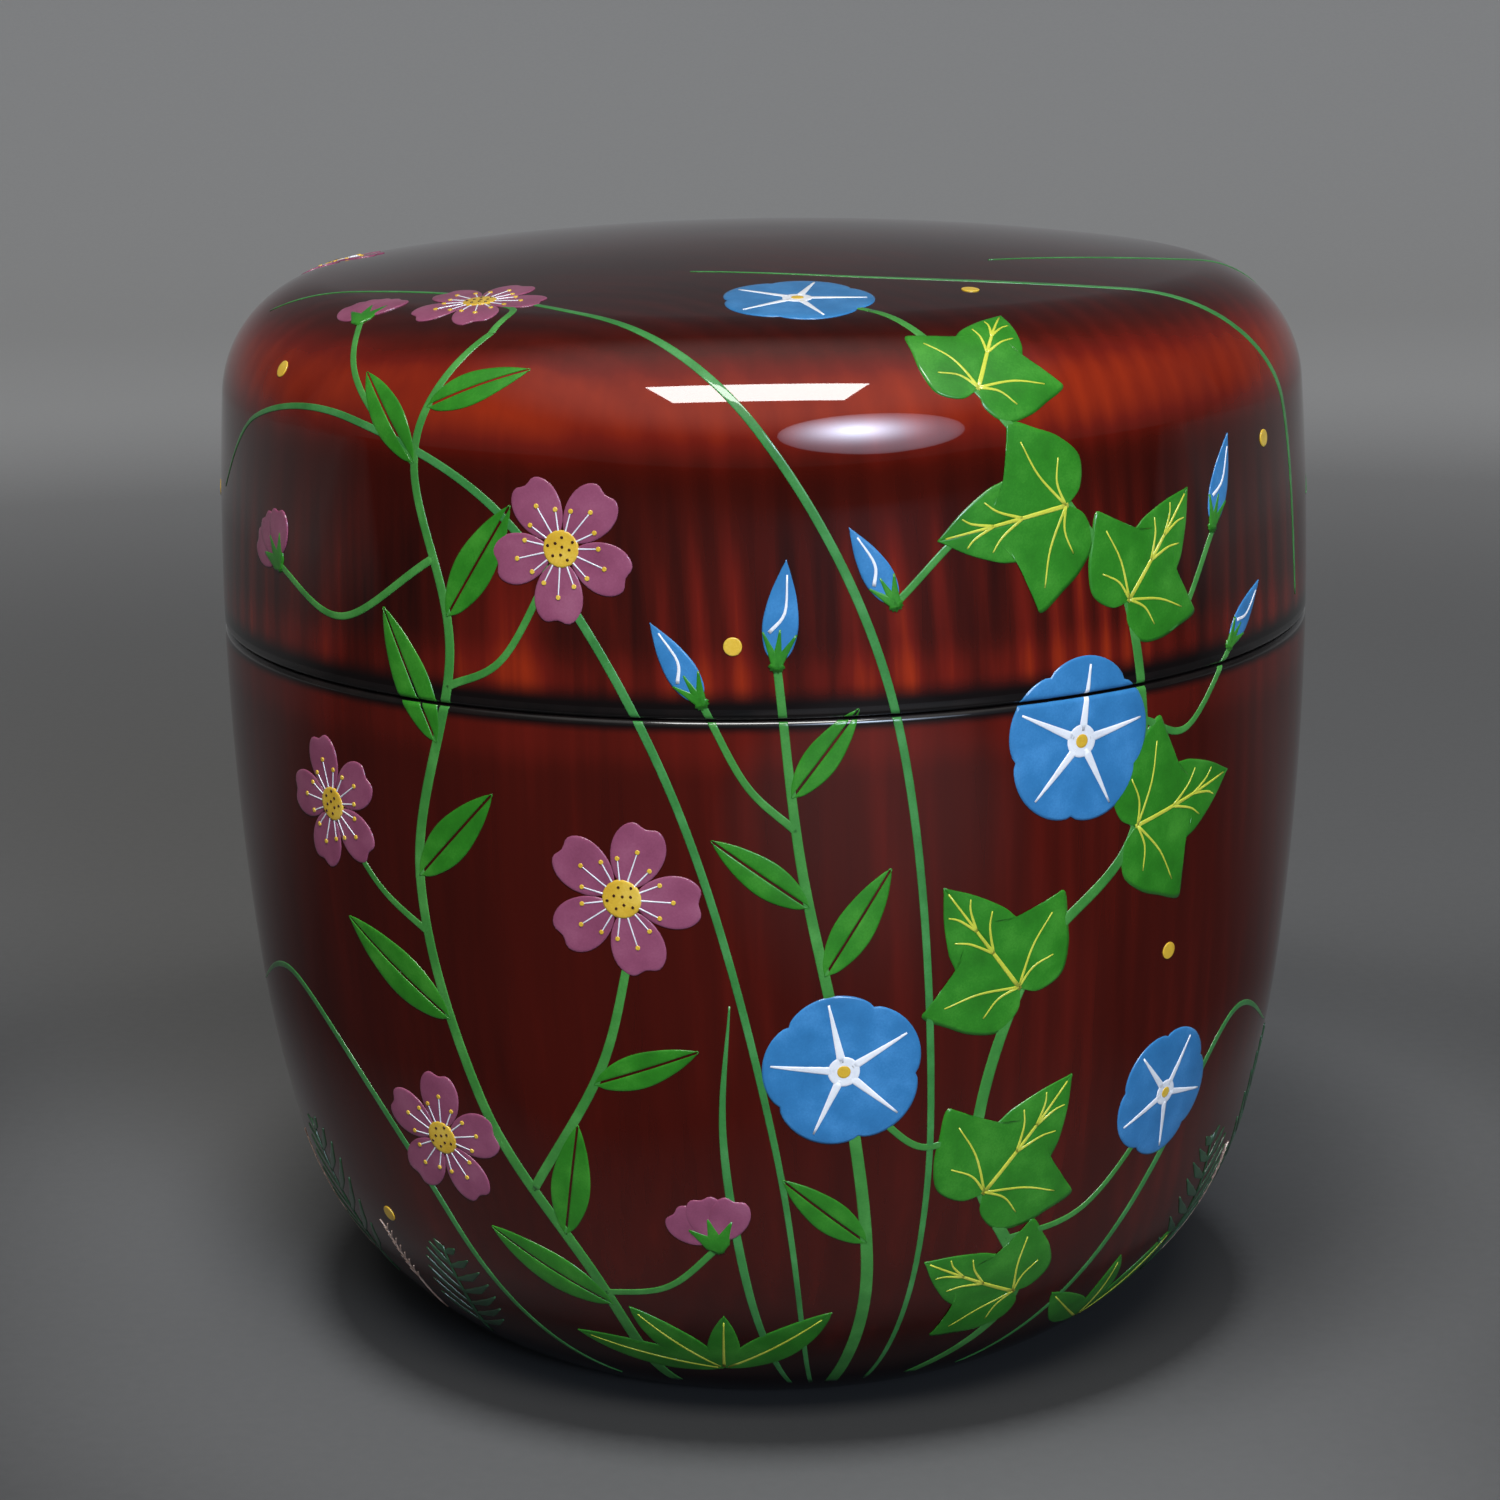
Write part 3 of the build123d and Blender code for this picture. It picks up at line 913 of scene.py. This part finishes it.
blossoms = [
    (-37, -26, 5, 4.3), (-14, -10, 20, 4.6), (-48, -7, -15, 4.1), (-19, 9, 40, 4.2), (-38, 25, 0, 4.0),
    (-100, -26, 12, 4.3), (-128, -8, -20, 4.5), (-98, 4, 30, 4.1), (-106, 22, 8, 4.0),
]
half_open = [
    (-6, -31, -15, 3.9), (-56, 6, -35, 3.7), (-50, 21, -30, 3.6), (-134, 8, -30, 3.8),
    (-92, -14, 40, 3.8),
]
blossom_stalks = {
    "left_side_shoot": [[(-13, -13), (-13.5, -11.5), (-14, -10)]],
    "left_spray": [
        [(-28, -25), (-33, -26), (-37, -26)], [(-35, -13), (-42, -11), (-48, -7)],
        [(-32, 1), (-25, 3), (-19, 9)], [(-30, 21), (-31, 24), (-38, 25)],
        [(-19, -35), (-12, -34), (-6, -31)], [(-33, 8), (-45, 4), (-56, 6)],
        [(-35, 13), (-44, 17), (-50, 21)],
    ],
    "far_spray": [
        [(-115, -32), (-106, -31), (-100, -26)], [(-121, -16), (-126, -13), (-128, -8)],
        [(-108, -4), (-102, -1), (-98, 4)], [(-100, 17), (-103, 19), (-106, 22)],
        [(-110, 2), (-122, 4), (-134, 8)], [(-119, -20), (-104, -18), (-92, -14)],
    ],
}
stamens = 15
anther_radius = 0.14
blossom_heart_share = 0.24
grain_radius = 0.09
grain_spacing = 0.065
grain_lift = 0.14
golden_angle = 2.4
lift_per_degree = 0.0004
mauve, grains = [], []
for *place, radius in half_open:
    # The three petals overlap: each lies higher the more it leans to the right.
    for lean in (-34, 34, 0):
        lift = petal_lift + lift_per_degree * lean
        mauve.append(disc_film(petal_outline(0.9 * radius), leaning(place, lean), lift))
    sepal = [(0, -0.1), (0, 0.12), (0, 0.5)]
    for lean in (-40, 0, 40):
        calyxes.append(line_film(sepal, radius, (0.5, 1.0, 0.1), leaning(place, lean), ray_lift))
for *place, radius in blossoms:
    for number in range(5):
        petal_place = leaning(place, 360 / 5 * number)
        mauve.append(disc_film(petal_outline(radius), petal_place, petal_lift))
    for number in range(stamens):
        stamen_place = leaning(place, 360 / stamens * number)
        reach = 0.5 if number % 3 else 0.62
        stamen = [(0, 0.2), (0, 0.35), (0, reach)]
        white.append(line_film(stamen, radius, (0.1, 0.07), stamen_place, ray_lift))
        gold.append(round_film(anther_radius, stamen_place, heart_lift, (0, reach * radius), points=8))
    gold.append(round_film(blossom_heart_share * radius, place, heart_lift))
    for number in range(9):
        reach = grain_spacing * radius * sqrt(number + 0.3)
        spot = (reach * sin(golden_angle * number), reach * cos(golden_angle * number))
        grains.append(round_film(grain_radius, place, grain_lift, spot, points=8))
mauve_paint = lacquer_paint("mauve_lacquer_paint", "#743850", "#864660", "#94566e")
dark_paint = lacquer_paint("dark_brown_lacquer_paint", "#2a1208", "#3a1a0c", "#4a2412")
painted("blossom_stalks", stalk_films(blossom_stalks), stem_green)
painted("blossoms", mauve, mauve_paint)
painted("calyxes", calyxes, leaf_green)
painted("blossom_grains", grains, dark_paint)


# Low ferns round the foot, in dark green that nearly sinks into the lacquer, and between them
# ears of wild grass in pale brown. Yellow drops of paint are scattered over the rest.
fern_places = [(-61, -40, -14, 12), (-45, -43, 12, 10)]
fern_places += [(61, -41, -4, 12), (72, -38, 16, 13), (85, -41, 30, 10)]
fern_places += [(110 + 34 * n, -42, 14 * (-1) ** n, 11 + n % 3) for n in range(5)]
fern_shares = np.linspace(0.16, 0.94, 7)
fern_rib = np.stack([0.2 * fern_shares * (1 - fern_shares), fern_shares], -1)
fern_spread = 50
ear_shares = np.linspace(0.45, 0.97, 8)
ear_spread = 34
fern_leaflets, ears = [], []
for turn, rise, heading, length in fern_places:
    frond = (turn, rise, heading)
    for share, point in zip(fern_shares, drawn(fern_rib * length, *frond)):
        # Leaflets are longest a third of the way up, and there a third as long as the frond.
        reach = length * 0.34 * sin(pi * (0.25 + 0.72 * share)) ** 0.8
        for side in (-1, 1):
            place = (*mark_of(point), heading + side * fern_spread)
            leaflet = [(0, 0), (0.06 * side, 0.5), (0, 1)]
            widths = (0.25, 0.055 * length, 0.1)
            fern_leaflets.append(line_film(leaflet, reach, widths, place, leaf_lift))
    midrib = [(0, 0), (0.05, 0.5), (0, 1)]
    fern_leaflets.append(line_film(midrib, length, (0.34, 0.12), frond, vein_lift))
ear_places = [(-69, -40, -24, 9), (-53, -42, 2, 8), (66, -41, 6, 9), (79, -39, 20, 9)]
ear_places += [(127 + 34 * n, -42, -10 * (-1) ** n, 9) for n in range(4)]
for turn, rise, heading, length in ear_places:
    blade = [(0, 0), (0.5 / length, 0.5), (0, 1)]
    ears.append(line_film(blade, length, (0.14, 0.08), (turn, rise, heading), leaf_lift))
    rib = np.stack([2 * ear_shares * (1 - ear_shares), length * ear_shares], -1)
    for point in drawn(rib, turn, rise, heading):
        for side in (-1, 1):
            place = (*mark_of(point), heading + side * ear_spread)
            ears.append(line_film([(0, 0), (0, 0.35), (0, 0.75)], 1, (0.1, 0.06), place, leaf_lift))
fern_green = lacquer_paint("dark_green_lacquer_paint", "#16301c", "#20442a", "#2c5636")
ear_paint = lacquer_paint("pale_brown_lacquer_paint", "#8a6c60", "#a88c7c", "#c0a898")
painted("ferns", fern_leaflets, fern_green)
painted("grass_ears", ears, ear_paint)

drop_places = [(44, -16), (-3, 4), (-58, 17), (30, 27), (-50, -33), (60, 12)]
drop_places += [(90, -6), (112, 14), (-84, 8), (196, -4), (-140, 12)]
drop_radius = 0.5
gold += [round_film(drop_radius, (turn, rise, 0), petal_lift) for turn, rise in drop_places]
painted("yellow", gold, gold_paint)
painted("white", white, white_paint)


# Studio: a grey paper sweep, a pale ceiling with a panel in it, and a soft lamp beside the camera.
# The polished shoulder mirrors them, as a veil, a white strip and a glow below it. Round the caddy
# the paper is darker, with a painted shadow at the foot and darker paper to keep the lacquer deep,
# but for a painted pool of light in front on the right.
def studio_sweep():
    """Floor that runs flat to the back and rises there in a quarter circle to an upright wall."""
    half_width = 3.0
    front = -3.0
    bend_start = 0.5
    bend_radius = 0.6
    wall_top = 2.4
    angle = np.linspace(0, pi / 2, 25)
    y = np.concatenate([[front], bend_start + bend_radius * np.sin(angle), [bend_start + bend_radius]])
    z = np.concatenate([[0], bend_radius * (1 - np.cos(angle)), [wall_top]])
    x = np.array([-half_width, half_width])
    points = np.stack(np.broadcast_arrays(x[None, :], y[:, None], z[:, None]), -1)
    number = np.arange(points.size // 3).reshape(points.shape[:2])
    mesh = bpy.data.meshes.new("studio_sweep")
    mesh.from_pydata(points.reshape(-1, 3).tolist(), [], quads_of(number))
    mesh.shade_smooth()
    material, add, in_mm = new_material("grey_paper_with_painted_shadow_and_light")
    plain_level, tooth_depth = 0.33, 0.04
    tooth = add("TexNoise", {"Vector": in_mm, "Scale": 1.2, "Detail": 3.0})
    tone = add("Math", [tooth, tooth_depth, plain_level], operation="MULTIPLY_ADD")
    place = add("SeparateXYZ", [in_mm]).outputs
    level_place = add("VectorMath", [in_mm, (1, 1, 0)], operation="MULTIPLY")
    from_axis = add("VectorMath", [level_place], operation="LENGTH").outputs["Value"]
    # Middle of the painted shadow, and middle of the painted pool of light.
    shadow_place, painted_light_pool_place = (5, 15.5, 0), (54, -152, 0)
    from_shadow, from_painted_light_pool = (
        add("VectorMath", [in_mm, spot], operation="DISTANCE").outputs["Value"]
        for spot in (shadow_place, painted_light_pool_place)
    )

    # Each shade grows from nothing at its first distance to its last number at the second. The ones
    # from the axis and from the shadow's place paint the caddy's shadow and a darker ring round it,
    # and the last paints a pool of light.
    shades = [
        (place["Y"], 25, -15, -0.08), (place["Y"], -32, -90, -0.42), (place["Y"], 0, 90, 0.24),
        (place["Y"], 110, 450, 0.13), (place["Z"], 60, 350, -0.12), (place["Z"], 600, 1300, 0.2),
        (from_axis, 32, 24, -0.33), (from_shadow, 48, 30, -0.2), (from_axis, 36, 80, -0.34),
        (from_axis, 200, 420, 0.34), (from_painted_light_pool, 138, 30, 0.95),
    ]
    for distance, start, end, step in shades:
        shade = [distance, start, end, 0, step]
        change = add("MapRange", shade, interpolation_type="SMOOTHSTEP")
        tone = add("Math", [change, tone], operation="ADD")
    colour = add("ValToRGB", [tone], [(0.0, "#2c2c2c"), (0.5, "#707070"), (1.0, "#b8b8b8")])
    matt = {"Base Color": colour, "Roughness": 0.9, "Specular IOR Level": 0.2}
    shader = add("BsdfPrincipled", matt)
    add("OutputMaterial", {"Surface": shader})
    mesh.materials.append(material)
    sweep = add_object("studio_sweep", mesh)


studio_sweep()


def soft_lamp(name, shape, place, target, size, brightness, colour):
    """Flat lamp that faces target. Its power is brightness times pi times its area."""
    lamp = bpy.data.lights.new(name, "AREA")
    lamp.shape = shape
    lamp.size, lamp.size_y = size
    fill = pi / 4 if shape == "ELLIPSE" else 1
    lamp.energy = brightness * pi * size[0] * size[1] * fill
    lamp.color = linear(colour)[:3]
    aim = (Vector(target) - Vector(place)).to_track_quat("-Z", "Y").to_matrix().to_4x4()
    add_object(name, lamp).matrix_world = Matrix.Translation(place) @ aim
    return lamp


def fade_from_core(lamp, core, edge_share):
    """Light falls off from the core at a place (across, up) from 0 to 1 on the lamp: strength is
    (1 - 2 x distance)^2.6, and about edge_share further out, with a soft rim."""
    lamp.use_nodes = True
    tree = lamp.node_tree
    add = partial(add_node, tree)
    across = add("NewGeometry").outputs["Parametric"]
    strength = 0
    for centre, power, share in ((core, 2.6, 1 - edge_share), ((0.5, 0.5, 0), 0.3, edge_share)):
        span = add("VectorMath", [across, centre], operation="DISTANCE").outputs["Value"]
        inward = add("MapRange", [span, 0, 0.5, 1, 0])
        falling = add("Math", [inward, power], operation="POWER")
        strength = add("Math", [falling, share, strength], operation="MULTIPLY_ADD")
    tree.links.new(strength.outputs[0], tree.nodes["Emission"].inputs["Strength"])


panel_place = (-0.015, -0.75, 1.06)
soft_lamp("ceiling_panel", "RECTANGLE", panel_place, (-0.015, -0.7499, 0), (0.73, 0.40), 21.5, "#fffefc")
lamp_place = (0.37, -0.90, 0.34)
round_lamp = soft_lamp("round_lamp", "ELLIPSE", lamp_place, (0, 0, 0.05), (0.68, 0.58), 46, "#d2e4ff")
fade_from_core(round_lamp, (0.42, 0.6, 0), 0.1)

# The ceiling: pale overhead and a little towards the camera, and dim all round below that.
world = bpy.data.worlds.new("studio_air")
scene.world = world
world.use_nodes = True
sky = world.node_tree
add = partial(add_node, sky)
direction = add("TexCoord").outputs["Generated"]
ceiling_middle = (0, -0.42, 0.91)
pale_from, pale_to = 0.62, 0.9
dim_strength, pale_strength = 0.08, 0.6
towards = add("VectorMath", [direction, ceiling_middle], operation="DOT_PRODUCT")
spread = [towards.outputs["Value"], pale_from, pale_to, dim_strength, pale_strength]
pale = add("MapRange", spread, interpolation_type="SMOOTHSTEP")
background = sky.nodes["Background"]
background.inputs["Color"].default_value = linear("#fffdf9")
sky.links.new(pale.outputs[0], background.inputs["Strength"])
scene.view_settings.view_transform = "Standard"
